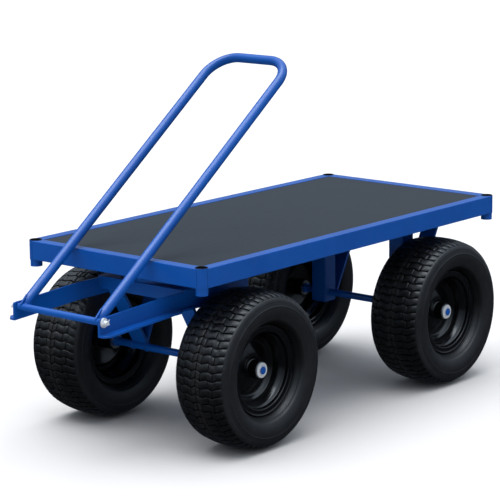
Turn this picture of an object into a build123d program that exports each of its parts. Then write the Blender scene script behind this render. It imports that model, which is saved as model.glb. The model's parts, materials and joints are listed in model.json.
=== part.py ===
from build123d import *
import os
from math import sin, cos, tan, atan2, radians, degrees, hypot, sqrt

# Four-wheel turntable-steered platform trolley, millimetres.
# Frame: +X forward (towards the pull handle), +Y to the left, +Z up,
# origin on the floor under the centre of the overall box.
os.makedirs("parts", exist_ok=True)

# ------------------------------------------------------------------ driving dimensions
DECK_L, DECK_W = 1250.0, 600.0      # platform outside length and width
DECK_TOP = 499.0                    # top of the frame lip above the floor
RAIL_H, RAIL_W, RAIL_T = 50.0, 30.0, 3.0    # rectangular hollow section of the rim frame
RAIL_R = 3.0                        # outside corner radius of the section
RAIL_SET = 0.05                     # the sockets stand this little proud of the rail faces
SOCKET_OD, SOCKET_ID = 33.7, 28.0   # stanchion socket tube
STUB_OD = 31.0                      # the socket is turned down where it stands below the frame
LINER_ID, LINER_FLANGE = 26.0, 31.5 # plastic liner inside each socket, and its flange on top
SOCKET_LEN = 68.0                   # socket stands 18 below the frame
BOARD_T, BOARD_DROP = 12.0, 2.0     # deck board thickness, and how far it lies below the lip
CROSS_W, CROSS_H = 50.0, 30.0       # deck cross members, laid flat

AXLE_X = 400.0                      # axles stand this far from the deck's middle
WHEEL_R = 202.5                     # tyre outside radius
TYRE_Y = 250.0                      # middle plane of each tyre from the centre line
TYRE_HALF = 83.0                    # half of the tyre's section width
RIM_R = 116.0                       # rim flange radius
AXLE_R = 10.0
AXLE_HALF = 301.0                   # half of the axle's length

BOGIE_TOP = 404.0                   # top of the drawbar angles over the front axle
ARM_IN, ARM_T = 142.5, 5.0          # inner face of each drawbar angle and its thickness
ARM_H, FLANGE = 45.0, 30.0          # drawbar angle: upright and outward flange
ARM_FRONT, ARM_REAR = 826.0, 275.0  # ends of the drawbar angles from the deck's middle
PIVOT_X, PIVOT_Z = 811.3, 381.7     # handle pivot axis
PIVOT_R = 6.0
LEAN = 53.785                       # parked handle, degrees back from upright
HANDLE_HALF = 127.6                 # leg centre line from the middle
HANDLE_LEN = 927.8                  # pivot to the grip bar's centre line
TUBE_R, TUBE_T = 12.5, 2.0          # handle tube
RING_R = 125.0                      # turntable race outside radius

# The overall box runs from the rear of the deck to the front of the drawbar.
DX = -(ARM_FRONT - DECK_L / 2) / 2  # x of the deck's middle in the part frame


def xz(points):
    """Points given from the deck's middle, moved to the part frame."""
    return [(x + DX, z) for x, z in points]


def side_plane(y):
    """A plane facing +Y whose local x is +X and local y is +Z."""
    return Plane(origin=(0, y, 0), x_dir=(1, 0, 0), z_dir=(0, -1, 0))


PARTS = {}


def keep(builder, name):
    builder.part.label = name
    PARTS[name] = builder.part
    export_step(builder.part, f"parts/{name}.step")


# ------------------------------------------------------------------ platform frame
Z_RAIL = DECK_TOP - RAIL_H / 2
SOCKET_X = DECK_L / 2 - SOCKET_OD / 2
SOCKET_Y = DECK_W / 2 - SOCKET_OD / 2
SOCKETS = [(sx * SOCKET_X + DX, sy * SOCKET_Y) for sx in (1, -1) for sy in (1, -1)]
BOARD_TOP = DECK_TOP - BOARD_DROP
BOARD_BOT = BOARD_TOP - BOARD_T
IN_X, IN_Y = DECK_L / 2 - RAIL_SET - RAIL_W, DECK_W / 2 - RAIL_SET - RAIL_W   # inside faces of the rim frame


def socket_cut():
    with Locations(*[(x, y, Z_RAIL) for x, y in SOCKETS]):
        Cylinder(SOCKET_OD / 2, RAIL_H + 10, mode=Mode.SUBTRACT)


for name, s in (("front_rail", 1), ("rear_rail", -1)):
    with BuildPart() as rail:
        with BuildSketch(Plane.XZ.offset(-SOCKET_Y)):
            with Locations((s * (DECK_L / 2 - RAIL_SET - RAIL_W / 2) + DX, Z_RAIL)):
                RectangleRounded(RAIL_W, RAIL_H, RAIL_R)
                RectangleRounded(RAIL_W - 2 * RAIL_T, RAIL_H - 2 * RAIL_T, 1.0, mode=Mode.SUBTRACT)
        extrude(amount=2 * SOCKET_Y)
        socket_cut()
        # the side rails run past the inner corner, so this one stops against them there
        with Locations(*[(s * SOCKET_X / 2 + DX, sy * (DECK_W / 2 - RAIL_SET - RAIL_W / 2), Z_RAIL) for sy in (1, -1)]):
            Box(SOCKET_X, RAIL_W, RAIL_H + 2, mode=Mode.SUBTRACT)
    keep(rail, name)

for name, s in (("left_rail", 1), ("right_rail", -1)):
    with BuildPart() as rail:
        with BuildSketch(Plane.YZ.offset(-SOCKET_X + DX)):
            with Locations((s * (DECK_W / 2 - RAIL_SET - RAIL_W / 2), Z_RAIL)):
                RectangleRounded(RAIL_W, RAIL_H, RAIL_R)
                RectangleRounded(RAIL_W - 2 * RAIL_T, RAIL_H - 2 * RAIL_T, 1.0, mode=Mode.SUBTRACT)
        extrude(amount=2 * SOCKET_X)
        socket_cut()
    keep(rail, name)

with BuildPart() as stanchion_sockets:
    with BuildSketch(Plane.XY.offset(DECK_TOP - RAIL_H)):
        with Locations(*SOCKETS):
            Circle(SOCKET_OD / 2)
    extrude(amount=RAIL_H)
    with BuildSketch(Plane.XY.offset(DECK_TOP - SOCKET_LEN)):
        with Locations(*SOCKETS):
            Circle(STUB_OD / 2)
    extrude(amount=SOCKET_LEN - RAIL_H)
    with Locations(*[(x, y, DECK_TOP - SOCKET_LEN / 2) for x, y in SOCKETS]):
        Cylinder(SOCKET_ID / 2, SOCKET_LEN + 2, mode=Mode.SUBTRACT)
keep(stanchion_sockets, "stanchion_sockets")

# flanged plastic liner pushed into each socket from above
with BuildPart() as socket_liners:
    with BuildSketch(Plane.XY.offset(DECK_TOP)):
        with Locations(*SOCKETS):
            Circle(LINER_FLANGE / 2)
    extrude(amount=1.0)
    with BuildSketch(Plane.XY.offset(DECK_TOP - SOCKET_LEN)):
        with Locations(*SOCKETS):
            Circle(SOCKET_ID / 2)
    extrude(amount=SOCKET_LEN)
    with Locations(*[(x, y, DECK_TOP - SOCKET_LEN / 2) for x, y in SOCKETS]):
        Cylinder(LINER_ID / 2, SOCKET_LEN + 4, mode=Mode.SUBTRACT)
keep(socket_liners, "socket_liners")

# deck cross members, from front to rear, by their middle
CROSS_X = {
    "cross_member_front": 510.0,
    "cross_member_behind_turntable": 290.0,
    "cross_member_middle": -55.0,
    "cross_member_rear_axle": -AXLE_X,
    "cross_member_rear": -568.0,
}
SCREW_Y = 205.0
for name, cx in CROSS_X.items():
    with BuildPart() as member:
        with BuildSketch(Plane.XZ.offset(-IN_Y)):
            with Locations((cx + DX, BOARD_BOT - CROSS_H / 2)):
                RectangleRounded(CROSS_W, CROSS_H, 3.0)
                RectangleRounded(CROSS_W - 6, CROSS_H - 6, 1.0, mode=Mode.SUBTRACT)
        extrude(amount=2 * IN_Y)
        with Locations(*[(cx + DX, s * SCREW_Y, BOARD_BOT - CROSS_H / 2) for s in (1, -1)]):
            Cylinder(3.2, CROSS_H + 2, mode=Mode.SUBTRACT)
        if name in ("cross_member_front", "cross_member_behind_turntable"):
            with Locations(*[(cx + DX, s * 100.0, BOARD_BOT - CROSS_H + 1.5) for s in (1, -1)]):
                Cylinder(5.2, 5, mode=Mode.SUBTRACT)
    keep(member, name)

with BuildPart() as deck_board:
    with BuildSketch(Plane.XY.offset(BOARD_BOT)):
        with Locations((DX, 0)):
            Rectangle(2 * IN_X - 2, 2 * IN_Y - 2)
    extrude(amount=BOARD_T)
    chamfer(deck_board.faces().sort_by(Axis.Z)[-1].edges(), length=0.8)
    with Locations(*[(cx + DX, s * SCREW_Y, BOARD_BOT + 4) for cx in CROSS_X.values() for s in (1, -1)]):
        Cylinder(3.2, 8.2, mode=Mode.SUBTRACT)
keep(deck_board, "deck_board")

with BuildPart() as deck_screws:
    for cx in CROSS_X.values():
        for s in (1, -1):
            with BuildSketch(Plane.XY.offset(BOARD_BOT - CROSS_H - 4)):
                with Locations((cx + DX, s * SCREW_Y)):
                    RegularPolygon(5.6, 6)
            extrude(amount=4)
            with BuildSketch(Plane.XY.offset(BOARD_BOT - CROSS_H)):
                with Locations((cx + DX, s * SCREW_Y)):
                    Circle(3.0)
            extrude(amount=CROSS_H + 7.5)
keep(deck_screws, "deck_screws")

# ------------------------------------------------------------------ turntable, on x = +AXLE_X
TX = AXLE_X + DX
PLATE_Z = BOARD_BOT - CROSS_H            # underside of the cross members
TOP_PLATE_T, LOW_PLATE_T = 6.0, 5.0
TOP_Z = PLATE_Z - TOP_PLATE_T            # underside of the top plate
LOW_Z = BOGIE_TOP + LOW_PLATE_T          # top of the lower plate
BALL_R = 7.0
BALL_RING_R = 114.0
BALL_Z = (TOP_Z + LOW_Z) / 2
KING_R = 8.0

with BuildPart() as turntable_top_plate:
    with BuildSketch(Plane.XY.offset(TOP_Z)):
        with Locations((TX, 0)):
            RectangleRounded(270, 260, 8)
            Circle(KING_R + 0.1, mode=Mode.SUBTRACT)
        with Locations(*[(cx + DX, s * 100.0) for cx in (510.0, 290.0) for s in (1, -1)]):
            Circle(5.2, mode=Mode.SUBTRACT)
    extrude(amount=TOP_PLATE_T)
keep(turntable_top_plate, "turntable_top_plate")

with BuildPart() as turntable_bolts:
    for cx in (510.0, 290.0):
        for s in (1, -1):
            with BuildSketch(Plane.XY.offset(TOP_Z - 6.4)):
                with Locations((cx + DX, s * 100.0)):
                    RegularPolygon(9.6, 6)
            extrude(amount=6.4)
            with BuildSketch(Plane.XY.offset(TOP_Z)):
                with Locations((cx + DX, s * 100.0)):
                    Circle(5.0)
            extrude(amount=TOP_PLATE_T + 14)
keep(turntable_bolts, "turntable_bolts")

# upper race: a pressed ring with a ball groove underneath and a dust skirt outside
with BuildPart() as turntable_upper_ring:
    with BuildSketch(Plane.XZ):
        with Locations((BALL_RING_R - 1, TOP_Z - 7.5)):
            Rectangle(24, 15)
        with Locations((RING_R + 2.5, TOP_Z - 15)):
            Rectangle(5, 30)
        with Locations((BALL_RING_R, BALL_Z)):
            Circle(BALL_R + 0.3, mode=Mode.SUBTRACT)
    revolve(axis=Axis.Z)
turntable_upper_ring.part.position = (TX, 0, 0)
keep(turntable_upper_ring, "turntable_upper_ring")

with BuildPart() as turntable_lower_ring:
    with BuildSketch(Plane.XZ):
        with Locations((BALL_RING_R - 1.5, LOW_Z + 7.5)):
            Rectangle(21, 15)
        with Locations((BALL_RING_R, BALL_Z)):
            Circle(BALL_R + 0.3, mode=Mode.SUBTRACT)
    revolve(axis=Axis.Z)
turntable_lower_ring.part.position = (TX, 0, 0)
keep(turntable_lower_ring, "turntable_lower_ring")

with BuildPart() as turntable_balls:
    with Locations((TX, 0, BALL_Z)):
        with PolarLocations(BALL_RING_R, 24):
            Sphere(BALL_R)
keep(turntable_balls, "turntable_balls")

with BuildPart() as turntable_bottom_plate:
    with BuildSketch(Plane.XY.offset(BOGIE_TOP)):
        with Locations((TX, 0)):
            RectangleRounded(250, 2 * (ARM_IN + ARM_T), 6)
            Circle(KING_R + 0.3, mode=Mode.SUBTRACT)
    extrude(amount=LOW_PLATE_T)
keep(turntable_bottom_plate, "turntable_bottom_plate")

with BuildPart() as king_bolt:
    with BuildSketch(Plane.XY.offset(PLATE_Z)):
        with Locations((TX, 0)):
            RegularPolygon(13.8, 6)
    extrude(amount=10)
    chamfer(king_bolt.faces().sort_by(Axis.Z)[-1].edges(), length=0.8)
    with BuildSketch(Plane.XY.offset(BOGIE_TOP - 28)):
        with Locations((TX, 0)):
            Circle(KING_R)
    extrude(amount=PLATE_Z - BOGIE_TOP + 28)
keep(king_bolt, "king_bolt")

with BuildPart() as king_bolt_washer:
    with BuildSketch(Plane.XY.offset(BOGIE_TOP - 3.3)):
        with Locations((TX, 0)):
            Circle(17)
            Circle(KING_R + 0.1, mode=Mode.SUBTRACT)
    extrude(amount=3)
keep(king_bolt_washer, "king_bolt_washer")

with BuildPart() as king_bolt_nut:
    with BuildSketch(Plane.XY.offset(BOGIE_TOP - 3.3 - 16)):
        with Locations((TX, 0)):
            RegularPolygon(13.8, 6)
            Circle(KING_R, mode=Mode.SUBTRACT)
    extrude(amount=16)
keep(king_bolt_nut, "king_bolt_nut")

# ------------------------------------------------------------------ rear undercarriage
LEG_IN, LEG_OUT = 113.0, 163.0
LEG_BOT = 177.0
for name, s in (("rear_leg_left", 1), ("rear_leg_right", -1)):
    with BuildPart() as leg:
        with BuildSketch(Plane.XY.offset(LEG_BOT)):
            with Locations((-AXLE_X + DX, s * (LEG_IN + LEG_OUT) / 2)):
                RectangleRounded(50, 50, 4)
                RectangleRounded(42, 42, 1.5, mode=Mode.SUBTRACT)
        extrude(amount=PLATE_Z - LEG_BOT)
        with Locations(Location((-AXLE_X + DX, s * (LEG_IN + LEG_OUT) / 2, WHEEL_R), (90, 0, 0))):
            Cylinder(AXLE_R, 60, mode=Mode.SUBTRACT)
    keep(leg, name)

# flat-bar brace from the foot of each leg up to the rear cross member
BRACE_T = 8.0
for name, s in (("rear_brace_left", 1), ("rear_brace_right", -1)):
    with BuildPart() as brace:
        with BuildSketch(side_plane(s * (LEG_IN + LEG_OUT) / 2)):
            with BuildLine():
                Polyline(*xz([(-425, 182), (-425, 198.9), (-563.3, PLATE_Z), (-572.4, PLATE_Z)]), close=True)
            make_face()
        extrude(amount=(LEG_OUT - LEG_IN) / 2, both=True)
    keep(brace, name)


def axle_builder(x, name):
    """Round axle bar with a welded shoulder collar inboard of each hub."""
    with BuildPart() as axle:
        with Locations(Location((x + DX, 0, WHEEL_R), (90, 0, 0))):
            Cylinder(AXLE_R, 2 * AXLE_HALF)
        chamfer(axle.edges().filter_by(GeomType.CIRCLE), length=1.2)
        with Locations(*[Location((x + DX, s * 201, WHEEL_R), (90, 0, 0)) for s in (1, -1)]):
            Cylinder(14.0, 10)
        # groove for each retaining ring
        for s in (1, -1):
            with BuildSketch(Plane.XZ.offset(-s * CLIP_Y)):
                with Locations((x + DX, WHEEL_R)):
                    Circle(AXLE_R + 1)
                    Circle(AXLE_R - 0.7, mode=Mode.SUBTRACT)
            extrude(amount=0.65, both=True, mode=Mode.SUBTRACT)
    keep(axle, name)


HUB_IN, HUB_OUT = 206.5, 293.0     # ends of each wheel hub
CLIP_Y = HUB_OUT + 3.8 + 0.6       # retaining rings in grooves near the axle ends
axle_builder(-AXLE_X, "rear_axle")
axle_builder(AXLE_X, "front_axle")

for name, x in (("rear_axle_washers", -AXLE_X), ("front_axle_washers", AXLE_X)):
    with BuildPart() as washers:
        for yc in (HUB_OUT + 2.0, -HUB_OUT - 2.0):
            with BuildSketch(Plane.XZ.offset(-yc)):
                with Locations((x + DX, WHEEL_R)):
                    Circle(19.0)
                    Circle(AXLE_R + 0.2, mode=Mode.SUBTRACT)
            extrude(amount=1.5, both=True)
    keep(washers, name)


for name, x, turn in (("rear_axle_retaining_rings", -AXLE_X, 150.0), ("front_axle_retaining_rings", AXLE_X, 125.0)):
    with BuildPart() as clips:
        for s in (1, -1):
            with BuildSketch(Plane.XZ.offset(-s * CLIP_Y)):
                with Locations(Location((x + DX, WHEEL_R, 0), (0, 0, turn))):
                    Circle(12.6)
                    Circle(AXLE_R - 0.6, mode=Mode.SUBTRACT)
                    with Locations((13.2, 3.6), (13.2, -3.6)):
                        Circle(3.2)
                    with Locations((13.0, 0)):
                        Rectangle(12, 2.4, mode=Mode.SUBTRACT)
                    with Locations((13.6, 3.7), (13.6, -3.7)):
                        Circle(1.1, mode=Mode.SUBTRACT)
            extrude(amount=0.55, both=True)
    keep(clips, name)

# ------------------------------------------------------------------ steering bogie
Z_ARM0 = BOGIE_TOP - ARM_H
for name, s in (("drawbar_left", 1), ("drawbar_right", -1)):
    with BuildPart() as arm:
        # upright of the angle, bent a little downwards towards the pull end
        with BuildSketch(side_plane(s * (ARM_IN + ARM_T / 2))):
            with BuildLine():
                Polyline(*xz([(ARM_REAR, BOGIE_TOP), (585, BOGIE_TOP), (ARM_FRONT, 392.5),
                              (ARM_FRONT, 347.5), (585, Z_ARM0), (ARM_REAR, Z_ARM0)]), close=True)
            make_face()
        extrude(amount=ARM_T / 2, both=True)
        fillet(arm.edges().filter_by(Axis.Y).group_by(Axis.X)[-1].sort_by(Axis.Z)[-1], radius=4)
        # outward flange
        with BuildSketch(side_plane(s * (ARM_IN + FLANGE / 2))):
            with BuildLine():
                Polyline(*xz([(ARM_REAR, Z_ARM0 + ARM_T), (585, Z_ARM0 + ARM_T), (ARM_FRONT, 347.5 + ARM_T),
                              (ARM_FRONT, 347.5), (585, Z_ARM0), (ARM_REAR, Z_ARM0)]), close=True)
            make_face()
        extrude(amount=FLANGE / 2, both=True)
        # flange trimmed back beside the tyre and rounded off at the pull end
        with BuildSketch(Plane.XY.offset(330)):
            with BuildLine():
                Polyline((ARM_REAR - 5 + DX, s * (ARM_IN + 17.5)), (540 + DX, s * (ARM_IN + 17.5)),
                         (562 + DX, s * (ARM_IN + FLANGE)), (562 + DX, s * (ARM_IN + FLANGE + 8)),
                         (ARM_REAR - 5 + DX, s * (ARM_IN + FLANGE + 8)), close=True)
            make_face()
            with BuildLine():
                Polyline((ARM_FRONT - 14 + DX, s * (ARM_IN + FLANGE)), (ARM_FRONT + DX, s * (ARM_IN + 17)),
                         (ARM_FRONT + 5 + DX, s * (ARM_IN + 17)), (ARM_FRONT + 5 + DX, s * (ARM_IN + FLANGE + 5)),
                         (ARM_FRONT - 14 + DX, s * (ARM_IN + FLANGE + 5)), close=True)
            make_face()
        extrude(amount=60, mode=Mode.SUBTRACT)
        # hole for the handle pivot rod
        with Locations(Location((PIVOT_X + DX, s * (ARM_IN + ARM_T / 2), PIVOT_Z), (90, 0, 0))):
            Cylinder(PIVOT_R + 0.1, 12, mode=Mode.SUBTRACT)
    keep(arm, name)

# cross angles between the drawbar arms, before and behind the turntable
for name, x0, x1, xw in (("bogie_cross_front", 470, 520, 517.5), ("bogie_cross_rear", 280, 330, 282.5)):
    with BuildPart() as cross:
        with BuildSketch(side_plane(0)):
            with Locations(((x0 + x1) / 2 + DX, BOGIE_TOP - 2.5)):
                Rectangle(x1 - x0, 5)
            with Locations((xw + DX, BOGIE_TOP - 14.5)):
                Rectangle(5, 29)
        extrude(amount=ARM_IN, both=True)
    keep(cross, name)

# V-shaped hanger of bent flat bar that carries the front axle
for name, s in (("front_hanger_left", 1), ("front_hanger_right", -1)):
    with BuildPart() as hanger:
        with BuildSketch(side_plane(s * (ARM_IN - 25))):
            with BuildLine():
                Polyline(*xz([(510.4, BOGIE_TOP - 5), (401.0, 207.0), (399.0, 207.0), (318.3, BOGIE_TOP - 5),
                              (327.0, BOGIE_TOP - 5), (400.6, 222.6), (501.2, BOGIE_TOP - 5)]), close=True)
            make_face()
        extrude(amount=25, both=True)
        with Locations(Location((AXLE_X + DX, s * (ARM_IN - 25), WHEEL_R), (90, 0, 0))):
            Cylinder(AXLE_R, 60, mode=Mode.SUBTRACT)
    keep(hanger, name)

with BuildPart() as handle_pivot_rod:
    with Locations(Location((PIVOT_X + DX, 0, PIVOT_Z), (90, 0, 0))):
        Cylinder(PIVOT_R, 2 * 161.5)
    chamfer(handle_pivot_rod.edges().filter_by(GeomType.CIRCLE), length=1.0)
    with Locations(*[Location((PIVOT_X + DX, s * 155.0, PIVOT_Z), (0, 90, 0)) for s in (1, -1)]):
        Cylinder(1.8, 20, mode=Mode.SUBTRACT)
keep(handle_pivot_rod, "handle_pivot_rod")

with BuildPart() as handle_pivot_washers:
    for s in (1, -1):
        with BuildSketch(Plane.XZ.offset(-s * (ARM_IN + ARM_T + 1.75))):
            with Locations((PIVOT_X + DX, PIVOT_Z)):
                Circle(12.0)
                Circle(PIVOT_R + 0.2, mode=Mode.SUBTRACT)
        extrude(amount=1.25, both=True)
keep(handle_pivot_washers, "handle_pivot_washers")

# split pin lying fore and aft in its cross hole: eye in front, legs bent apart behind
with BuildPart() as handle_pivot_split_pins:
    for s in (1, -1):
        with Locations(Location((PIVOT_X + DX, s * 155.0, PIVOT_Z), (0, 90, 0))):
            Cylinder(1.5, 2 * PIVOT_R + 5)
        with Locations(Location((PIVOT_X + DX + PIVOT_R + 4.6, s * 155.0, PIVOT_Z), (90, 0, 0))):
            Torus(2.4, 1.1)
        for t in (1, -1):
            with BuildLine() as leg_line:
                Line((PIVOT_X + DX - PIVOT_R - 1.6, s * 155.0, PIVOT_Z), (PIVOT_X + DX - PIVOT_R - 6.6, s * 155.0, PIVOT_Z + t * 6.4))
            with BuildSketch(Plane(origin=leg_line.line @ 0, z_dir=leg_line.line % 0)) as leg_round:
                Circle(1.05)
            sweep(sections=leg_round.sketch, path=leg_line.line)
keep(handle_pivot_split_pins, "handle_pivot_split_pins")

# ------------------------------------------------------------------ pull handle
FOOT_X, FOOT_Z = 797.0, 379.0
sl, cl = sin(radians(LEAN)), cos(radians(LEAN))
GRIP_X, GRIP_Z = PIVOT_X - HANDLE_LEN * sl, PIVOT_Z + HANDLE_LEN * cl
KNEE_Z = PIVOT_Z + (PIVOT_X - FOOT_X) / tan(radians(LEAN))   # foot line meets the leaning line
loop_points = [
    (FOOT_X + DX, -HANDLE_HALF, FOOT_Z), (FOOT_X + DX, -HANDLE_HALF, KNEE_Z),
    (GRIP_X + DX, -HANDLE_HALF, GRIP_Z), (GRIP_X + DX, HANDLE_HALF, GRIP_Z),
    (FOOT_X + DX, HANDLE_HALF, KNEE_Z), (FOOT_X + DX, HANDLE_HALF, FOOT_Z),
]
with BuildPart() as handle_loop:
    with BuildLine() as loop_line:
        FilletPolyline(*loop_points, radius=[24, 75, 75, 24])
    with BuildSketch(Plane(origin=loop_points[0], z_dir=(0, 0, 1))):
        Circle(TUBE_R)
        Circle(TUBE_R - TUBE_T, mode=Mode.SUBTRACT)
    sweep(path=loop_line.line)
    with Locations(Location((PIVOT_X + DX, 0, PIVOT_Z), (90, 0, 0))):
        Cylinder(9.0, 2 * 150, mode=Mode.SUBTRACT)
keep(handle_loop, "handle_loop")

with BuildPart() as handle_crossbar:
    with BuildSketch(Plane.XZ.offset(-140.5)):
        with Locations((PIVOT_X + DX, PIVOT_Z)):
            Circle(9.0)
            Circle(PIVOT_R + 0.3, mode=Mode.SUBTRACT)
    extrude(amount=281)
keep(handle_crossbar, "handle_crossbar")

# small web in front of each leg, between the crossbar and the tube
with BuildPart() as loop_outer:
    with BuildSketch(Plane(origin=loop_points[0], z_dir=(0, 0, 1))):
        Circle(TUBE_R)
    sweep(path=loop_line.line)
with BuildPart() as handle_gussets:
    for s in (1, -1):
        with BuildSketch(side_plane(s * HANDLE_HALF)):
            with BuildLine():
                Polyline(*xz([(820.6, 384.0), (819.0, 390.5), (797.0, 411.5), (800.0, 396.0), (812.0, 383.0)]), close=True)
            make_face()
        extrude(amount=2.5, both=True)
    with Locations(Location((PIVOT_X + DX, 0, PIVOT_Z), (90, 0, 0))):
        Cylinder(9.0, 2 * 150, mode=Mode.SUBTRACT)
    add(loop_outer.part, mode=Mode.SUBTRACT)
keep(handle_gussets, "handle_gussets")

# ------------------------------------------------------------------ wheels
# Drawn around the Y axis with the outer side towards +Y, middle plane of the tyre at y = 0.
with BuildPart() as tyre_shape:
    with BuildSketch(Plane.YZ):
        with BuildLine():
            ThreePointArc((0, 202.5), (34, 200.8), (64, 195.0))
            ThreePointArc((64, 195.0), (75.2, 188.0), (80.8, 176.0))
            ThreePointArc((80.8, 176.0), (83.0, 155.0), (75.0, 131.0))
            Polyline((75.0, 131.0), (58.0, 119.8), (48.8, 117.4), (48.8, 104.4), (46.2, 101.7), (36.5, 101.7), (36.5, 113.0))
            ThreePointArc((36.5, 113.0), (53.0, 124.5), (65.5, 140.0))
            ThreePointArc((65.5, 140.0), (73.5, 157.0), (71.0, 174.0))
            ThreePointArc((71.0, 174.0), (67.0, 181.0), (58.0, 186.0))
            ThreePointArc((58.0, 186.0), (30.0, 190.7), (0, 192.0))
            Line((0, 192.0), (0, 202.5))
        make_face()
        mirror(about=Plane.YZ)
    revolve(axis=Axis.Y)

with BuildPart() as tube_shape:
    with BuildSketch(Plane.YZ):
        with BuildLine():
            ThreePointArc((0, 191.3), (29.5, 190.0), (57.0, 185.3))
            ThreePointArc((57.0, 185.3), (66.0, 180.6), (70.0, 173.6))
            ThreePointArc((70.0, 173.6), (72.5, 157.0), (64.7, 140.5))
            ThreePointArc((64.7, 140.5), (52.3, 125.3), (36.0, 114.0))
            Polyline((36.0, 114.0), (33.0, 104.5), (14.0, 90.5), (0, 90.5))
            Line((0, 90.5), (0, 191.3))
        make_face()
        mirror(about=Plane.YZ)
    revolve(axis=Axis.Y)
    with BuildSketch(Plane.YZ):
        with BuildLine():
            ThreePointArc((0, 188.3), (29.0, 187.0), (55.5, 182.6))
            ThreePointArc((55.5, 182.6), (63.3, 178.5), (67.0, 172.6))
            ThreePointArc((67.0, 172.6), (69.5, 157.2), (62.2, 142.2))
            ThreePointArc((62.2, 142.2), (50.3, 127.7), (33.5, 116.0))
            Polyline((33.5, 116.0), (30.4, 106.2), (13.0, 93.5), (0, 93.5))
            Line((0, 93.5), (0, 188.3))
        make_face()
        mirror(about=Plane.YZ)
    revolve(axis=Axis.Y, mode=Mode.SUBTRACT)
    # valve stem, through the rim well on the inboard side
    with Locations((0, -12, 74)):
        Cylinder(4.0, 36)
    with Locations((0, -12, 88)):
        Cylinder(7.8, 8.5)

with BuildPart() as rim_shape:
    with BuildSketch(Plane.YZ):
        with BuildLine():
            Polyline((49.0, 116.0), (49.0, 104.0), (46.5, 101.5), (39.5, 101.5), (37.0, 97.0), (19.0, 87.0),
                     (-22.0, 87.0), (-31.0, 101.5), (-46.5, 101.5), (-49.0, 104.0), (-49.0, 116.0),
                     (-54.0, 116.0), (-54.0, 113.0), (-52.0, 111.5), (-52.0, 98.5), (-32.6, 98.5), (-23.6, 84.0),
                     (6.0, 84.0), (6.0, 80.0), (2.5, 77.0), (-1.5, 73.0), (-3.0, 69.0), (0.0, 60.0),
                     (4.5, 48.0), (8.0, 34.0), (9.0, 24.0), (HUB_IN - TYRE_Y, 24.0),
                     (HUB_IN - TYRE_Y, 21.0), (HUB_OUT - TYRE_Y, 21.0), (HUB_OUT - TYRE_Y, 24.0),
                     (18.0, 24.0), (12.6, 28.0), (12.0, 34.0), (8.5, 48.5), (4.0, 61.0), (1.2, 69.5), (2.2, 72.0), (6.0, 76.0),
                     (9.5, 79.0), (10.0, 84.0), (19.8, 84.0),
                     (39.5, 94.3), (41.0, 98.5), (52.0, 98.5), (52.0, 111.5), (54.0, 113.0), (54.0, 116.0), close=True)
        make_face()
    revolve(axis=Axis.Y)
    with Locations((0, -12, 85.5)):
        Cylinder(8.2, 10, mode=Mode.SUBTRACT)

with BuildPart() as bearings_shape:
    for y0 in (HUB_IN - TYRE_Y, HUB_OUT - TYRE_Y - 12):
        with BuildSketch(Plane.XZ.offset(-y0 - 12)):
            Circle(21.0)
            Circle(AXLE_R + 0.1, mode=Mode.SUBTRACT)
        extrude(amount=12)
    # shallow groove between the rings on each outer face
    for y0 in (HUB_IN - TYRE_Y, HUB_OUT - TYRE_Y):
        with BuildSketch(Plane.XZ.offset(-y0)):
            Circle(17.5)
            Circle(14.0, mode=Mode.SUBTRACT)
        extrude(amount=1.2, both=True, mode=Mode.SUBTRACT)

WHEELS = {
    "front_left": (AXLE_X, 1, 80.0), "front_right": (AXLE_X, -1, 262.0),
    "rear_left": (-AXLE_X, 1, 98.0), "rear_right": (-AXLE_X, -1, 275.0),
}
for corner, (x, s, spin) in WHEELS.items():
    seat = Location((x + DX, s * TYRE_Y, WHEEL_R), (0, 0, 0 if s > 0 else 180)) * Location((0, 0, 0), (0, spin, 0))
    for name, shape in (("tyre", tyre_shape), ("inner_tube", tube_shape), ("rim", rim_shape), ("bearings", bearings_shape)):
        with BuildPart() as wheel_piece:
            add(shape.part.moved(seat))
        keep(wheel_piece, f"{name}_{corner}")

print(len(PARTS), "nodes")
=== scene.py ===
import bpy, bmesh, json, math, random
from math import sin, cos, pi, radians, hypot
from mathutils import Vector, Matrix


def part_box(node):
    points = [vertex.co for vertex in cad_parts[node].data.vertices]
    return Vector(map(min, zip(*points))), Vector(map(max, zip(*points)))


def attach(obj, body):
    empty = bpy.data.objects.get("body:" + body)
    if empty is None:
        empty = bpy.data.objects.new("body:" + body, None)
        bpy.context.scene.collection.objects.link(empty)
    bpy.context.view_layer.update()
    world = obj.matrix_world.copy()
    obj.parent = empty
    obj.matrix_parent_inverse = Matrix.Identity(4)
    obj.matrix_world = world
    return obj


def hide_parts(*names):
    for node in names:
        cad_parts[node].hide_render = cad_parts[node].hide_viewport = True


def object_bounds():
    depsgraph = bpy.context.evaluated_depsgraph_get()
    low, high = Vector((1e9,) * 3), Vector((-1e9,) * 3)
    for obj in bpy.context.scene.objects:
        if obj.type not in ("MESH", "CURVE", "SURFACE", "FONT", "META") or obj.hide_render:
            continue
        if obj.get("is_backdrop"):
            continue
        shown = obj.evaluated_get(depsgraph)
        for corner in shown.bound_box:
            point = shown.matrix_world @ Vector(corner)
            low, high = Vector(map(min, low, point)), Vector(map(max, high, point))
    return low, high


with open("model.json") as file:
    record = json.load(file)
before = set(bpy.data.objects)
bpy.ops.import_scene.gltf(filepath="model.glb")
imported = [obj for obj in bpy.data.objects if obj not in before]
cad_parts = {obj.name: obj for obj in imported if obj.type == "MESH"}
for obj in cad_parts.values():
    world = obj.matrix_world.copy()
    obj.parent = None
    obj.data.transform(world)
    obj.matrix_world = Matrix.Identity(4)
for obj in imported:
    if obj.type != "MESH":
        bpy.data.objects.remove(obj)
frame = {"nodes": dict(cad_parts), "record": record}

CAD_LO, CAD_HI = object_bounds()
random.seed(7)
nodes = frame["nodes"]
WHEELS = ("front_left", "front_right", "rear_left", "rear_right")


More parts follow.
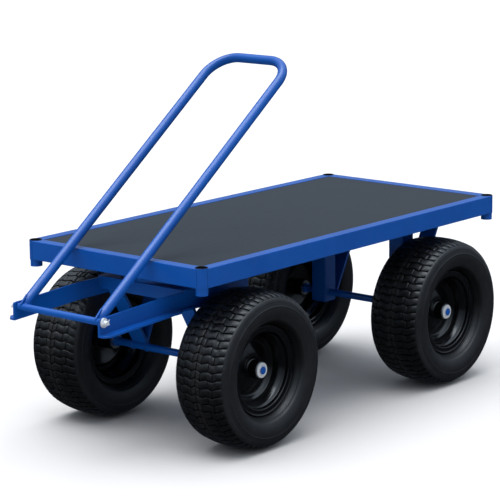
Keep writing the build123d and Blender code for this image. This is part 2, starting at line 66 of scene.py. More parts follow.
# ------------------------------------------------------------------ materials
def new_material(name):
    m = bpy.data.materials.new(name)
    m.use_nodes = True
    nt = m.node_tree
    bsdf = nt.nodes["Principled BSDF"]
    return m, nt, bsdf


def node(nt, kind, **props):
    n = nt.nodes.new(kind)
    for k, v in props.items():
        if k in n.inputs.keys():
            n.inputs[k].default_value = v
        else:
            setattr(n, k, v)
    return n


def object_coords(nt):
    return node(nt, "ShaderNodeTexCoord").outputs["Object"]


def noise(nt, vec, scale, detail=3.0, rough=0.5):
    n = node(nt, "ShaderNodeTexNoise")
    n.inputs["Scale"].default_value = scale
    n.inputs["Detail"].default_value = detail
    n.inputs["Roughness"].default_value = rough
    nt.links.new(vec, n.inputs["Vector"])
    return n.outputs["Fac"]


def ramp(nt, fac, stops):
    r = node(nt, "ShaderNodeValToRGB")
    els = r.color_ramp.elements
    while len(els) < len(stops):
        els.new(0.5)
    for e, (p, c) in zip(els, stops):
        e.position = p
        e.color = (*c, 1.0) if len(c) == 3 else c
    nt.links.new(fac, r.inputs["Fac"])
    return r.outputs["Color"]


def span(nt, fac, lo, hi, a=0.0, b=1.0):
    r = node(nt, "ShaderNodeMapRange")
    r.inputs["From Min"].default_value = a
    r.inputs["From Max"].default_value = b
    r.inputs["To Min"].default_value = lo
    r.inputs["To Max"].default_value = hi
    nt.links.new(fac, r.inputs["Value"])
    return r.outputs["Result"]


def bump(nt, height, strength, distance, normal=None):
    b = node(nt, "ShaderNodeBump")
    b.inputs["Strength"].default_value = strength
    b.inputs["Distance"].default_value = distance
    nt.links.new(height, b.inputs["Height"])
    if normal is not None:
        nt.links.new(normal, b.inputs["Normal"])
    return b.outputs["Normal"]


def rounded(nt, radius):
    b = node(nt, "ShaderNodeBevel")
    b.samples = 4
    b.inputs["Radius"].default_value = radius
    return b.outputs["Normal"]


def math_node(nt, op, a, b=None, value=None):
    n = node(nt, "ShaderNodeMath", operation=op)
    nt.links.new(a, n.inputs[0])
    if b is not None:
        nt.links.new(b, n.inputs[1])
    elif value is not None:
        n.inputs[1].default_value = value
    return n.outputs[0]


def powder_coat():
    m, nt, s = new_material("blue_powder_coat")
    vec = object_coords(nt)
    tone = noise(nt, vec, 9.0, 4.0)
    nt.links.new(ramp(nt, tone, [(0.3, (0.0026, 0.0600, 0.275)), (0.7, (0.0036, 0.0700, 0.308))]), s.inputs["Base Color"])
    peel = noise(nt, vec, 620.0, 2.0)
    fine = noise(nt, vec, 2400.0, 1.0)
    n = bump(nt, peel, 0.10, 0.0005, rounded(nt, 0.0009))
    n = bump(nt, fine, 0.05, 0.0002, n)
    nt.links.new(n, s.inputs["Normal"])
    nt.links.new(span(nt, noise(nt, vec, 24.0, 4.0), 0.17, 0.22, 0.3, 0.7), s.inputs["Roughness"])
    s.inputs["Specular IOR Level"].default_value = 0.42
    return m


def black_enamel():
    m, nt, s = new_material("black_rim_enamel")
    vec = object_coords(nt)
    nt.links.new(ramp(nt, noise(nt, vec, 16.0, 4.0), [(0.3, (0.0014, 0.0015, 0.0018)), (0.7, (0.0024, 0.0025, 0.0029))]), s.inputs["Base Color"])
    peel = noise(nt, vec, 420.0, 2.0)
    nt.links.new(bump(nt, peel, 0.10, 0.0005, rounded(nt, 0.0008)), s.inputs["Normal"])
    nt.links.new(span(nt, noise(nt, vec, 30.0, 4.0), 0.13, 0.20, 0.3, 0.7), s.inputs["Roughness"])
    s.inputs["Specular IOR Level"].default_value = 0.5
    return m


def deck_film():
    """Phenolic anti-slip film: a fine pressed wire-mesh grid over dark grey, with faint scuffs."""
    m, nt, s = new_material("deck_board_phenolic")
    vec = object_coords(nt)
    sep = node(nt, "ShaderNodeSeparateXYZ")
    nt.links.new(vec, sep.inputs[0])
    pitch = 0.0032
    waves = []
    for out in ("X", "Y"):
        w = math_node(nt, "MULTIPLY", sep.outputs[out], value=2 * pi / pitch)
        waves.append(math_node(nt, "SINE", w))
    grid = math_node(nt, "MULTIPLY", waves[0], waves[1])
    n = bump(nt, grid, 0.35, 0.00025, rounded(nt, 0.0006))
    n = bump(nt, noise(nt, vec, 1500.0, 2.0), 0.25, 0.0002, n)
    nt.links.new(n, s.inputs["Normal"])
    stretched = node(nt, "ShaderNodeMapping")
    stretched.inputs["Scale"].default_value = (2.0, 11.0, 4.0)
    nt.links.new(vec, stretched.inputs["Vector"])
    tone = noise(nt, stretched.outputs[0], 3.0, 6.0, 0.6)
    nt.links.new(ramp(nt, tone, [(0.25, (0.0118, 0.0146, 0.0184)), (0.75, (0.0158, 0.0190, 0.0232))]), s.inputs["Base Color"])
    nt.links.new(span(nt, tone, 0.54, 0.64, 0.25, 0.75), s.inputs["Roughness"])
    s.inputs["Specular IOR Level"].default_value = 0.2
    return m


def zinc():
    m, nt, s = new_material("zinc_plate")
    vec = object_coords(nt)
    nt.links.new(ramp(nt, noise(nt, vec, 130.0, 4.0), [(0.3, (0.62, 0.63, 0.64)), (0.7, (0.82, 0.83, 0.83))]), s.inputs["Base Color"])
    nt.links.new(span(nt, noise(nt, vec, 260.0, 4.0), 0.26, 0.44, 0.3, 0.7), s.inputs["Roughness"])
    nt.links.new(bump(nt, noise(nt, vec, 1800.0, 2.0), 0.12, 0.0002, rounded(nt, 0.0004)), s.inputs["Normal"])
    s.inputs["Metallic"].default_value = 0.35
    return m


def bearing():
    m, nt, s = new_material("bearing_steel")
    vec = object_coords(nt)
    nt.links.new(ramp(nt, noise(nt, vec, 90.0, 3.0), [(0.3, (0.34, 0.34, 0.35)), (0.7, (0.52, 0.52, 0.53))]), s.inputs["Base Color"])
    nt.links.new(span(nt, noise(nt, vec, 400.0, 3.0), 0.22, 0.36, 0.3, 0.7), s.inputs["Roughness"])
    s.inputs["Metallic"].default_value = 1.0
    return m


def rubber(name, dark, light, rough, dusty=False):
    m, nt, s = new_material(name)
    vec = object_coords(nt)
    tone = noise(nt, vec, 22.0, 6.0, 0.62)
    base = ramp(nt, tone, [(0.28, dark), (0.74, light)])
    if dusty:
        # the middle of the tread has picked up a little brown dust
        sep = node(nt, "ShaderNodeSeparateXYZ")
        nt.links.new(vec, sep.inputs[0])
        off = math_node(nt, "ABSOLUTE", sep.outputs["Y"])
        band = span(nt, off, 1.0, 0.0, 0.010, 0.022)
        specks = span(nt, noise(nt, vec, 240.0, 5.0, 0.65), 0.15, 1.0, 0.38, 0.62)
        amount = math_node(nt, "MULTIPLY", band, specks)
        mix = node(nt, "ShaderNodeMix", data_type="RGBA")
        nt.links.new(amount, mix.inputs[0])
        nt.links.new(base, mix.inputs[6])
        mix.inputs[7].default_value = (0.0125, 0.0110, 0.0100, 1.0)
        base = mix.outputs[2]
        # the smooth sidewalls are mixed towards a lighter, slightly bluish grey than the tread
        wall = math_node(nt, "MULTIPLY", span(nt, off, 0.0, 1.0, 0.0700, 0.0770), span(nt, noise(nt, vec, 34.0, 5.0, 0.6), 0.65, 1.0, 0.35, 0.65))
        grey = node(nt, "ShaderNodeMix", data_type="RGBA")
        nt.links.new(wall, grey.inputs[0])
        nt.links.new(base, grey.inputs[6])
        grey.inputs[7].default_value = (0.0110, 0.0110, 0.0126, 1.0)
        base = grey.outputs[2]
    nt.links.new(base, s.inputs["Base Color"])
    n = bump(nt, noise(nt, vec, 900.0, 3.0, 0.6), 0.30, 0.0004)
    n = bump(nt, noise(nt, vec, 90.0, 3.0), 0.10, 0.0012, n)
    nt.links.new(n, s.inputs["Normal"])
    nt.links.new(span(nt, noise(nt, vec, 55.0, 4.0), rough - 0.06, rough + 0.08, 0.3, 0.7), s.inputs["Roughness"])
    s.inputs["Specular IOR Level"].default_value = 0.50
    return m


def moulded_plastic():
    m, nt, s = new_material("black_plastic")
    vec = object_coords(nt)
    nt.links.new(ramp(nt, noise(nt, vec, 60.0, 4.0), [(0.3, (0.0022, 0.0022, 0.0024)), (0.7, (0.0040, 0.0040, 0.0043))]), s.inputs["Base Color"])
    nt.links.new(bump(nt, noise(nt, vec, 1600.0, 2.0), 0.2, 0.0002, rounded(nt, 0.0003)), s.inputs["Normal"])
    nt.links.new(span(nt, noise(nt, vec, 300.0, 3.0), 0.62, 0.74, 0.3, 0.7), s.inputs["Roughness"])
    s.inputs["Specular IOR Level"].default_value = 0.15
    return m


MATS = {
    "blue_powder_coat": powder_coat(),
    "black_rim_enamel": black_enamel(),
    "deck_board_phenolic": deck_film(),
    "zinc_plate": zinc(),
    "bearing_steel": bearing(),
    "tyre_rubber": rubber("tyre_rubber", (0.0020, 0.0020, 0.0021), (0.0038, 0.0037, 0.0038), 0.42, dusty=True),
    "tube_rubber": rubber("tube_rubber", (0.007, 0.007, 0.007), (0.011, 0.011, 0.011), 0.5),
    "black_plastic": moulded_plastic(),
}
SLOT = {p["node"]: p["material_slot"] for p in frame["record"]["subparts"]}
for name, o in nodes.items():
    o.data.materials.clear()
    o.data.materials.append(MATS[SLOT[name]])


# ------------------------------------------------------------------ mesh helpers
def make(name, verts, faces, slot, body, smooth_angle=35.0, matrix=None, fix_normals=True):
    me = bpy.data.meshes.new(name)
    me.from_pydata([tuple(v) for v in verts], [], faces)
    me.validate()
    if fix_normals:
        bm = bmesh.new()
        bm.from_mesh(me)
        bmesh.ops.recalc_face_normals(bm, faces=bm.faces)
        bm.to_mesh(me)
        bm.free()
    me.shade_smooth()
    me.set_sharp_from_angle(angle=radians(smooth_angle))
    me.materials.append(MATS[slot])
    o = bpy.data.objects.new(name, me)
    bpy.context.scene.collection.objects.link(o)
    if matrix is not None:
        o.matrix_world = matrix
    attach(o, body)
    return o


def revolve_y(profile, segments, closed=True):
    """Closed (y, r) profile turned about the Y axis."""
    verts, faces = [], []
    n = len(profile)
    for i in range(segments):
        a = 2 * pi * i / segments
        for y, r in profile:
            verts.append((r * sin(a), y, r * cos(a)))
    for i in range(segments):
        j = (i + 1) % segments
        for k in range(n if closed else n - 1):
            l = (k + 1) % n
            faces.append((i * n + k, i * n + l, j * n + l, j * n + k))
    return verts, faces


def arc3(p, q, r, n):
    """n + 1 points on the circle through p, q, r."""
    (ax, ay), (bx, by), (cx, cy) = p, q, r
    d = 2 * (ax * (by - cy) + bx * (cy - ay) + cx * (ay - by))
    ux = ((ax * ax + ay * ay) * (by - cy) + (bx * bx + by * by) * (cy - ay) + (cx * cx + cy * cy) * (ay - by)) / d
    uy = ((ax * ax + ay * ay) * (cx - bx) + (bx * bx + by * by) * (ax - cx) + (cx * cx + cy * cy) * (bx - ax)) / d
    rad = hypot(ax - ux, ay - uy)
    a0, a1, a2 = (math.atan2(y - uy, x - ux) for x, y in (p, q, r))

    def unwrap(a, ref):
        while a - ref > pi:
            a -= 2 * pi
        while a - ref < -pi:
            a += 2 * pi
        return a
    a1 = unwrap(a1, a0)
    a2 = unwrap(a2, a1)
    return [(ux + rad * cos(a0 + (a2 - a0) * i / n), uy + rad * sin(a0 + (a2 - a0) * i / n)) for i in range(n + 1)]


def bead(name, paths, radius, slot, body, ripple=0.14):
    """Weld beads: rippled tubes along short polylines, closed at both ends."""
    verts, faces = [], []
    for pts in paths:
        pts = [Vector(p) for p in pts]
        loop = (pts[0] - pts[-1]).length < 1e-7
        if loop:
            pts = pts[:-1]
        runs = []
        count = len(pts) if loop else len(pts) - 1
        for i in range(count):
            a, b = pts[i], pts[(i + 1) % len(pts)]
            m = max(1, int((b - a).length / (radius * 0.75)))
            runs += [a.lerp(b, k / m) for k in range(m)]
        if not loop:
            runs.append(pts[-1])
        n, base = len(runs), len(verts)
        k = 8
        for i, p in enumerate(runs):
            before = runs[(i - 1) % n] if loop or i else runs[0]
            after = runs[(i + 1) % n] if loop or i < n - 1 else runs[-1]
            t = (after - before).normalized()
            side = t.orthogonal().normalized() if i == 0 else (prev - t * prev.dot(t)).normalized()
            prev = side
            other = t.cross(side)
            rr = radius * (1 + ripple * sin(i * 1.9) + ripple * 0.4 * sin(i * 0.7 + 1.0))
            if not loop and i in (0, n - 1):
                rr *= 0.45
            for j in range(k):
                verts.append(p + (side * cos(2 * pi * j / k) + other * sin(2 * pi * j / k)) * rr)
        for i in range(n if loop else n - 1):
            for j in range(k):
                a, b = base + i * k + j, base + i * k + (j + 1) % k
                c, d = base + ((i + 1) % n) * k + (j + 1) % k, base + ((i + 1) % n) * k + j
                faces.append((a, b, c, d))
        if not loop:
            faces.append(tuple(base + j for j in range(k)))
            faces.append(tuple(base + (n - 1) * k + j for j in reversed(range(k))))
    return make(name, verts, faces, slot, body, 60.0)


def ring(centre, axis, radius, n=28):
    c, a = Vector(centre), Vector(axis).normalized()
    s = a.orthogonal().normalized()
    t = a.cross(s)
    return [c + (s * cos(2 * pi * i / n) + t * sin(2 * pi * i / n)) * radius for i in range(n)] + [c + s * radius]


# ------------------------------------------------------------------ tyres
def centre_of(name):
    lo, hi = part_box(name)
    return (lo + hi) / 2, hi - lo


_, tyre_size = centre_of("tyre_front_left")
SCALE_R = min(tyre_size.z, tyre_size.x) / 405.0 * 0.9998    # metres per drawn millimetre of tyre
SCALE_Y = tyre_size.y / 166.436 * 0.9998

OUTER = (arc3((0, 202.5), (34, 200.8), (64, 195.0), 16)[:-1] + arc3((64, 195.0), (75.2, 188.0), (80.8, 176.0), 12)[:-1]
         + arc3((80.8, 176.0), (83.0, 155.0), (75.0, 131.0), 14)[:-1] + [(75.0, 131.0), (70.0, 127.4), (64.0, 123.4), (58.0, 120.2), (52.5, 118.6), (49.2, 117.2)])
SLEN = [0.0]
for p, q in zip(OUTER, OUTER[1:]):
    SLEN.append(SLEN[-1] + hypot(q[0] - p[0], q[1] - p[1]))


def outer_at(s):
    """Point and outward normal on the tyre's outside profile, s millimetres from the crown."""
    s = max(0.0, min(s, SLEN[-1] - 1e-6))
    i = max(j for j in range(len(SLEN) - 1) if SLEN[j] <= s)
    t = (s - SLEN[i]) / (SLEN[i + 1] - SLEN[i])
    (y0, r0), (y1, r1) = OUTER[i], OUTER[i + 1]

    def seg_normal(k):
        k = max(0, min(k, len(OUTER) - 2))
        dy, dr = OUTER[k + 1][0] - OUTER[k][0], OUTER[k + 1][1] - OUTER[k][1]
        l = hypot(dy, dr)
        return (-dr / l, dy / l)
    a, b, c = seg_normal(i - 1) if i else (0.0, 1.0), seg_normal(i), seg_normal(i + 1)
    n0 = ((a[0] + b[0]) / 2, (a[1] + b[1]) / 2) if i else (0.0, 1.0)
    n1 = ((b[0] + c[0]) / 2, (b[1] + c[1]) / 2)
    n = (n0[0] * (1 - t) + n1[0] * t, n0[1] * (1 - t) + n1[1] * t)
    l = hypot(*n)
    return (y0 + (y1 - y0) * t, r0 + (r1 - r0) * t), (n[0] / l, n[1] / l)


TREAD_END = 77.0         # along the profile
GROOVE = 6.2


def groove_depth(s):
    if s < 69:
        return GROOVE
    if s > TREAD_END + 2:
        return 0.0
    t = (s - 69) / (TREAD_END + 2 - 69)
    return GROOVE * (1 - t * t * (3 - 2 * t))


def carcass_profile():
    out = []
    s = 0.0
    while s < SLEN[-1]:
        (y, r), (ny, nr) = outer_at(s)
        d = groove_depth(s)
        # raised line low on the shoulder and a fitting line by the rim
        for at, high, half in ((101.0, 0.9, 1.3), (146.0, 0.7, 1.2)):
            if abs(s - at) < half:
                d -= high * (1 - ((s - at) / half) ** 2)
        if 97.0 < s < 141.0:
            d += 0.0
        out.append((y - ny * d, r - nr * d))
        near = min(abs(s - 101.0), abs(s - 146.0))
        s += 0.65 if near < 2.4 else (2.0 if s > 58 else 4.0)
    out.append(OUTER[-1])
    return out


half = carcass_profile()
inner = [(48.8, 110.0), (48.8, 104.6), (46.2, 101.9), (36.6, 101.9), (36.6, 113.0), (53.0, 124.5), (65.4, 140.0),
         (73.2, 157.0), (71.0, 174.0), (67.0, 181.0), (58.0, 186.0), (30.0, 190.7)]
right_side = half + inner
TYRE_PROFILE = right_side + [(0.0, 191.9)] + [(-y, r) for y, r in reversed(right_side[1:])]

PITCH_COUNT = 60
PITCH = 2 * pi * 202.5 / PITCH_COUNT
# How far each row is swept along the tread, by distance from the crown.
SWEEP = [(0.0, 0.0), (7.0, 3.2), (13.8, 6.4), (16.0, 6.0), (24.0, 3.4), (32.0, 1.5), (37.0, 1.5), (41.5, 3.4), (46.0, 5.0), (51.0, 4.5),
         (58.0, 2.4), (66.0, -0.2), (TREAD_END, -2.4)]
# Blocks across half a row, and the rows that have them: every other row has a short middle
# block joined to the centre one, and a long shoulder block.
BLOCKS = [
    ((1.2, 13.6), 1), ((15.6, 50.4), 1), ((52.2, TREAD_END), 1),
    ((1.2, 36.8), 2), ((38.6, TREAD_END), 2),
]
BLOCK_LEN = 17.4
BEV = 0.9


def swept(s):
    for (a, va), (b, vb) in zip(SWEEP, SWEEP[1:]):
        if s <= b:
            return va + (vb - va) * (s - a) / (b - a)
    return SWEEP[-1][1]


def block_rows(s0, s1):
    """Rows of (s, shift, level) across a block with a softened rim; level 0 top, 1 edge, 2 foot."""
    inner_s = [s0 + BEV] + [s for s, _ in SWEEP if s0 + 2.0 < s < s1 - 2.0] + [s1 - BEV]
    rows = [(s0 - 0.6, 2), (s0, 1)] + [(s, 0) for s in inner_s] + [(s1, 1), (s1 + 0.6, 2)]
    return [(s, swept(min(max(s, s0), s1)), lv) for s, lv in rows]


def tread(side):
    verts, faces = [], []
    length = BLOCK_LEN
    for (s0, s1), rows_on in BLOCKS:
        rows = block_rows(s0, s1)
        cols = [(-0.7, 2), (0.0, 1), (BEV, 0), (length / 2, 0), (length - BEV, 0), (length, 1), (length + 0.7, 2)]
        nc = len(cols)
        for k in range(PITCH_COUNT):
            if k % 2 != rows_on - 1:
                continue
            base = len(verts)
            v0 = k * PITCH
            for s, sh, lr in rows:
                (y, r), (ny, nr) = outer_at(s)
                foot = groove_depth(s) + 0.9
                for c, lc in cols:
                    lv = max(lr, lc)
                    h = {0: -0.06, 1: -0.70, 2: -foot}[lv]
                    if lv == 1 and foot < 1.8:
                        h = -foot * 0.5
                    a = (v0 + sh + c) / 202.5
                    yy, rr = y + ny * h, r + nr * h
                    verts.append((rr * sin(a), yy, rr * cos(a)))
            nr_ = len(rows)
            for i in range(nr_ - 1):
                for j in range(nc - 1):
                    faces.append((base + i * nc + j, base + i * nc + j + 1, base + (i + 1) * nc + j + 1, base + (i + 1) * nc + j))
            # flat foot, sunk in the carcass
            rim = ([base + j for j in range(nc)] + [base + i * nc + nc - 1 for i in range(1, nr_)]
                   + [base + (nr_ - 1) * nc + j for j in range(nc - 2, -1, -1)] + [base + i * nc for i in range(nr_ - 2, 0, -1)])
            faces.append(tuple(reversed(rim)))
    # fine ribs round the foot of the shoulder
    count = PITCH_COUNT * 5
    for k in range(count):
        base = len(verts)
        a0 = 2 * pi * k / count
        for s, lift in ((78.6, 0.05), (80.0, 0.50), (88.0, 0.50), (90.4, 0.05)):
            (y, r), (ny, nr) = outer_at(s)
            d = groove_depth(s)
            for da, up in ((-0.95, 0.0), (-0.55, 1.0), (0.55, 1.0), (0.95, 0.0)):
                h = (lift if up else 0.0) - d - 0.02
                if not up:
                    h -= 0.5
                a = a0 + da / 202.5 * 1.05
                yy, rr = y + ny * h, r + nr * h
                verts.append((rr * sin(a), yy, rr * cos(a)))
        for i in range(3):
            for j in range(3):
                faces.append((base + i * 4 + j, base + i * 4 + j + 1, base + (i + 1) * 4 + j + 1, base + (i + 1) * 4 + j))
        faces.append((base, base + 4, base + 8, base + 12, base + 15, base + 11, base + 7, base + 3))
        faces.append((base, base + 3, base + 2, base + 1))
        faces.append((base + 12, base + 13, base + 14, base + 15))
    if side < 0:
        verts = [(x, -y, z) for x, y, z in verts]
    return verts, faces


def tyre_geometry():
    verts, faces = revolve_y(TYRE_PROFILE, 200)
    for side in (1, -1):
        v, f = tread(side)
        base = len(verts)
        verts += v
        faces += [tuple(base + i for i in q) for q in f]
    return [(x * SCALE_R, y * SCALE_Y, z * SCALE_R) for x, y, z in verts], faces


def smooth(points, n):
    """Catmull-Rom through the points, n steps to a span."""
    out = []
    for i in range(len(points) - 1):
        p0, p1, p2, p3 = points[max(i - 1, 0)], points[i], points[i + 1], points[min(i + 2, len(points) - 1)]
        for k in range(n):
            t = k / n
            out.append(tuple(0.5 * (2 * b + (c - a) * t + (2 * a - 5 * b + 4 * c - d) * t * t + (3 * b - a - 3 * c + d) * t ** 3)
                             for a, b, c, d in zip(p0, p1, p2, p3)))
    out.append(points[-1])
    return out


def rim_profile():
    """Pressed wheel: rolled flanges, bead seats, drop centre and a dished disc with its hub tube."""
    P = []
    P += arc3((54.0, 113.2), (53.9, 115.6), (51.6, 116.0), 6)                   # rolled lip of the outer flange
    P += arc3((51.2, 116.0), (49.3, 115.3), (49.0, 113.0), 4)
    P += [(49.0, 105.0)] + arc3((48.6, 103.4), (47.6, 101.9), (46.0, 101.5), 4)
    P += [(40.0, 101.5), (37.6, 99.0), (33.0, 94.6), (25.0, 90.0), (19.0, 87.2), (16.0, 87.0), (-22.0, 87.0), (-24.0, 88.6), (-31.0, 101.0)]
    P += [(-32.0, 101.5), (-46.0, 101.5), (-48.6, 103.4), (-49.0, 106.0), (-49.0, 113.0)]
    P += arc3((-49.2, 115.0), (-51.4, 116.0), (-53.9, 115.0), 6)
    P += [(-54.0, 113.0), (-52.4, 111.6), (-52.0, 109.0), (-52.0, 101.0), (-50.0, 98.7), (-33.0, 98.5), (-31.0, 97.0), (-24.4, 85.6), (-22.0, 84.0)]
    P += [(4.0, 84.0)]
    P += smooth([(6.0, 82.6), (5.4, 79.6), (2.6, 77.0), (-1.0, 73.6), (-2.9, 69.0), (-2.0, 64.5), (0.0, 60.0), (4.5, 48.0), (7.6, 36.0), (8.8, 28.0)], 3)
    P += [(8.2, 25.2), (6.4, 24.0), (-43.3, 24.0), (-43.4, 23.6), (-43.4, 21.5), (-43.1, 21.2), (42.6, 21.2), (42.9, 21.5)]
    P += [(42.9, 23.6), (42.6, 24.0), (19.0, 24.0)]
    P += [(18.4, 25.6), (16.6, 27.2), (14.4, 28.2)]                             # fillet weld round the hub tube
    P += smooth([(12.6, 29.6), (12.1, 34.0), (10.9, 41.0), (8.4, 48.8), (5.6, 56.0), (3.2, 62.6), (1.6, 67.6), (1.7, 70.8), (3.6, 74.0), (7.4, 77.4)], 3)
    P += [(10.6, 82.2), (12.4, 83.6), (15.0, 84.0), (17.0, 84.1)]
    P += arc3((19.0, 84.8), (24.0, 86.6), (29.0, 89.0), 4)
    P += arc3((33.0, 91.2), (37.0, 93.8), (40.0, 97.2), 4)
    P += [(42.0, 98.3), (45.0, 98.5), (49.5, 98.6)]
    P += arc3((50.4, 98.9), (51.7, 100.6), (52.0, 103.0), 4)
    P += [(52.0, 110.4), (52.7, 111.9)]
    return P


def rim_geometry():
    v, f = revolve_y(rim_profile(), 160)
    return [(x / 1000, y / 1000, z / 1000) for x, y, z in v], f


SPIN = {"front_left": 80.0, "front_right": 262.0, "rear_left": 98.0, "rear_right": 275.0}
tyre_v, tyre_f = tyre_geometry()
rim_v, rim_f = rim_geometry()
for corner in WHEELS:
    s = 1 if corner.endswith("left") else -1
    c, _ = centre_of(f"tyre_{corner}")
    place = Matrix.Translation(c) @ Matrix.Rotation(0 if s > 0 else pi, 4, "Z")
    # the turn goes into the points, so that the piece's own box stays square to the object's
    turn = Matrix.Rotation(radians(SPIN[corner]), 3, "Y")
    t = make(f"treaded_tyre_{corner}", [turn @ Vector(v) for v in tyre_v], tyre_f, "tyre_rubber", f"wheel_{corner}", 38.0, place)
    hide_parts(f"tyre_{corner}")
    # the rim turns with the same angle as the tyre
    r = make(f"pressed_rim_{corner}", [turn @ Vector(v) for v in rim_v], rim_f, "black_rim_enamel", f"wheel_{corner}", 30.0, place)
    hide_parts(f"rim_{corner}")

# ------------------------------------------------------------------ welds, all on the painted frame
for side, s in (("left", 1), ("right", -1)):
    lo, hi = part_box(f"rear_leg_{side}")
    ax, _ = centre_of("rear_axle")
    blo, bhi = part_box(f"rear_brace_{side}")
    paths = [ring((ax.x, lo.y if s > 0 else hi.y, ax.z), (0, 1, 0), 0.0112), ring((ax.x, hi.y if s > 0 else lo.y, ax.z), (0, 1, 0), 0.0112)]
    z = hi.z - 0.0012
    paths.append([(lo.x, lo.y, z), (hi.x, lo.y, z), (hi.x, hi.y, z), (lo.x, hi.y, z), (lo.x, lo.y, z)])
    paths.append([(lo.x, blo.y + 0.002, blo.z + 0.0005), (lo.x, bhi.y - 0.002, blo.z + 0.0005)])
    paths.append([(blo.x + 0.010, blo.y + 0.002, bhi.z - 0.001), (blo.x + 0.010, bhi.y - 0.002, bhi.z - 0.001)])
    bead(f"welds_rear_leg_{side}", paths, 0.0022, "blue_powder_coat", "chassis")

    lo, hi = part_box(f"front_hanger_{side}")
    ax, _ = centre_of("front_axle")
    top = hi.z - 0.0010
    paths = [ring((ax.x, lo.y, ax.z), (0, 1, 0), 0.0106), ring((ax.x, hi.y, ax.z), (0, 1, 0), 0.0106)]
    paths.append([(lo.x + 0.001, lo.y + 0.002, top), (lo.x + 0.001, hi.y - 0.002, top)])
    paths.append([(hi.x - 0.001, lo.y + 0.002, top), (hi.x - 0.001, hi.y - 0.002, top)])
    alo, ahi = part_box(f"drawbar_{side}")
    y = alo.y if s > 0 else ahi.y
    for piece in ("bogie_cross_front", "bogie_cross_rear"):
        clo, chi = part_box(piece)
        front = piece.endswith("front")
        x = chi.x if front else clo.x
        paths.append([(x + (0.0008 if front else -0.0008), y, clo.z + 0.001), (x + (0.0008 if front else -0.0008), y, chi.z - 0.002)])
    plo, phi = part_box("turntable_bottom_plate")
    for a, b in ((plo.x + 0.01, plo.x + 0.07), (plo.x + 0.095, plo.x + 0.155), (phi.x - 0.07, phi.x - 0.01)):
        paths.append([(a, s * (phi.y + 0.0004), plo.z + 0.0006), (b, s * (phi.y + 0.0004), plo.z + 0.0006)])
    bead(f"welds_bogie_{side}", paths, 0.0021, "blue_powder_coat", "bogie")

    glo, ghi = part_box("handle_loop")
    pivot, _ = centre_of("handle_crossbar")
    leg_y = s * 0.1276
    foot_x = ghi.x - 0.0125
    pts = []
    for i in range(25):
        a = 2 * pi * i / 24
        px, py = foot_x + 0.0125 * cos(a), leg_y + 0.0125 * sin(a)
        dx = px - pivot.x
        rise = math.sqrt(max(0.0, 0.0093 ** 2 - dx * dx)) if abs(dx) < 0.0093 else 0.0
        pts.append((px, py, max(pivot.z + rise, glo.z + 0.0006)))
    pts[-1] = pts[0]
    bead(f"weld_handle_foot_{side}", [pts], 0.0016, "blue_powder_coat", "handle")

# seams where the socket tubes meet the rails, seen from below and inside
for i, (sx, sy) in enumerate(((1, 1), (1, -1), (-1, 1), (-1, -1))):
    slo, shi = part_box("stanchion_sockets")
    c = Vector(((shi.x if sx > 0 else slo.x) - sx * 0.01685, (shi.y if sy > 0 else slo.y) - sy * 0.01685, 0))
    rlo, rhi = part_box("left_rail")
    arc = []
    for k in range(15):
        a = math.atan2(-sy, -sx) + radians(-62 + 124 * k / 14)
        arc.append((c.x + 0.0172 * cos(a), c.y + 0.0172 * sin(a), rlo.z - 0.0002))
    bead(f"weld_socket_{i}", [arc], 0.0016, "blue_powder_coat", "chassis")

# ------------------------------------------------------------------ floor, light, camera
def plain(name, colour, rough):
    m, nt, s = new_material(name)
    vec = object_coords(nt)
    c2 = tuple(min(1.0, v * 1.02) for v in colour)
    nt.links.new(ramp(nt, noise(nt, vec, 0.6, 2.0), [(0.3, colour), (0.7, c2)]), s.inputs["Base Color"])
    s.inputs["Roughness"].default_value = rough
    s.inputs["Specular IOR Level"].default_value = 0.1
    return m


me = bpy.data.meshes.new("studio_floor")
me.from_pydata([(-60, -60, 0), (60, -60, 0), (60, 60, 0), (-60, 60, 0)], [], [(0, 1, 2, 3)])
me.materials.append(plain("studio_floor", (0.625, 0.565, 0.520), 0.95))
floor = bpy.data.objects.new("studio_floor", me)
bpy.context.scene.collection.objects.link(floor)
floor.location.z = CAD_LO.z - 0.0003
floor.visible_glossy = False      # as over a dark, matt ground: the pale floor isn't mirrored in the paint
floor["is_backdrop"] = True

world = bpy.data.worlds.new("studio")
bpy.context.scene.world = world
world.use_nodes = True
wt = world.node_tree
bg = wt.nodes["Background"]
direction = wt.nodes.new("ShaderNodeTexCoord").outputs["Generated"]
split = wt.nodes.new("ShaderNodeSeparateXYZ")
wt.links.new(direction, split.inputs[0])
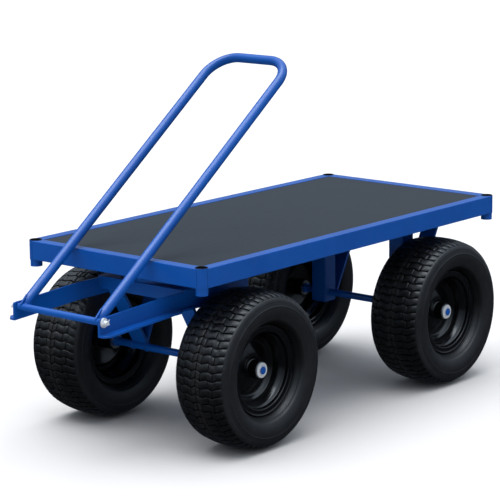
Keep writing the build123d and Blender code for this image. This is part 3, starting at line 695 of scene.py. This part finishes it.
# a dim studio wall that brightens to a pale ceiling
sky = ramp(wt, split.outputs["Z"], [(0.0, (0.035, 0.040, 0.050)), (0.02, (0.16, 0.19, 0.23)), (0.30, (0.31, 0.37, 0.45)), (0.62, (0.72, 0.85, 1.00)), (0.80, (1.35, 1.58, 1.85)), (1.0, (1.35, 1.58, 1.85))])
wt.links.new(sky, bg.inputs["Color"])
bg.inputs["Strength"].default_value = 1.0


def soft_sun(name, toward, strength, spread, colour=(1, 1, 1)):
    """A broad, far softbox: shines along the given direction."""
    d = bpy.data.lights.new(name, "SUN")
    d.energy = strength
    d.angle = radians(spread)
    d.color = colour
    o = bpy.data.objects.new(name, d)
    bpy.context.scene.collection.objects.link(o)
    o.rotation_mode = "QUATERNION"
    o.rotation_quaternion = Vector(toward).to_track_quat("-Z", "Y")
    return o


soft_sun("overhead_softbox", (-0.16, 0.10, -1.0), 3.0, 58.0, (0.90, 0.955, 1.0))

cam_data = bpy.data.cameras.new("photo_camera")
cam = bpy.data.objects.new("photo_camera", cam_data)
bpy.context.scene.collection.objects.link(cam)
bpy.context.scene.camera = cam
AZ, EL, ROLL, FOCAL = radians(130.0665), radians(11.8122), radians(-0.5915), 2232.03
d = Vector((-sin(AZ) * cos(EL), cos(AZ) * cos(EL), -sin(EL)))
r = d.cross(Vector((0, 0, 1))).normalized()
u = r.cross(d)
r2 = r * cos(ROLL) + u * sin(ROLL)
u2 = -r * sin(ROLL) + u * cos(ROLL)
# the deck's middle lies behind the middle of the overall box by this much
deck_lo, deck_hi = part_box("stanchion_sockets")
shift_x = (deck_lo.x + deck_hi.x) / 2
m = Matrix((r2, u2, -d)).transposed().to_4x4()
m.translation = Vector((4.5459 + shift_x, 3.7637, 1.6336))
cam.matrix_world = m
cam_data.sensor_width = 36.0
cam_data.lens = 36.0 * FOCAL / 500.0
cam_data.shift_x = -5.01 / 500.0
cam_data.shift_y = 2.70 / 500.0
cam_data.clip_start, cam_data.clip_end = 0.1, 200.0

bpy.context.scene.view_settings.view_transform = "Standard"

bpy.context.view_layer.update()
lo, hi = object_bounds()
